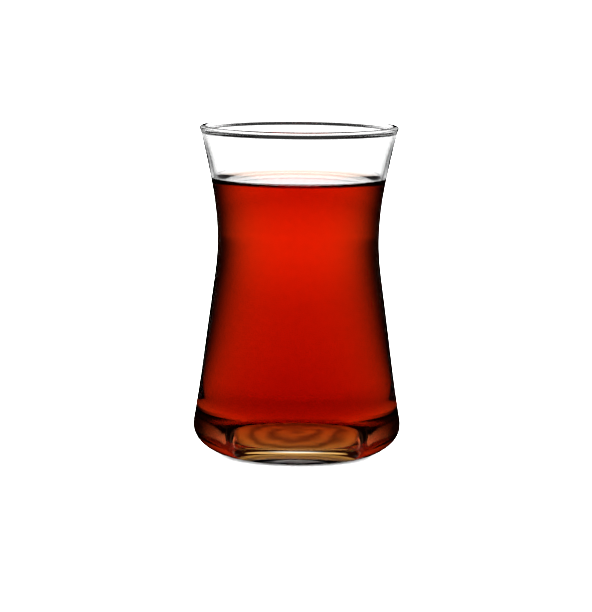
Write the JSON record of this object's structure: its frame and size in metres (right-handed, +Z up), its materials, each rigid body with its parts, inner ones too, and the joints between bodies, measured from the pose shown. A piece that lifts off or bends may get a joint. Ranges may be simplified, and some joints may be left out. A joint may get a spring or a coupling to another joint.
{
  "type": "turkish tea glass",
  "caption": "Waisted clear tea glass with a flared lip, a wide rounded belly and a thick foot, filled with dark red black tea to below the lip.",
  "frame": {"origin": "centre of the foot, on the plane that the glass stands on", "axes": "+Z up along the glass's axis of revolution; the glass looks the same along every horizontal direction"},
  "size_m": [0.0566, 0.0566, 0.0909],
  "materials": {
    "clear_glass": "clear, fire-polished soda-lime glass",
    "black_tea": "clear brewed black tea, dark red"
  },
  "bodies": {
    "root": {"glass": "clear_glass", "tea": "black_tea"}
  },
  "joints": []
}
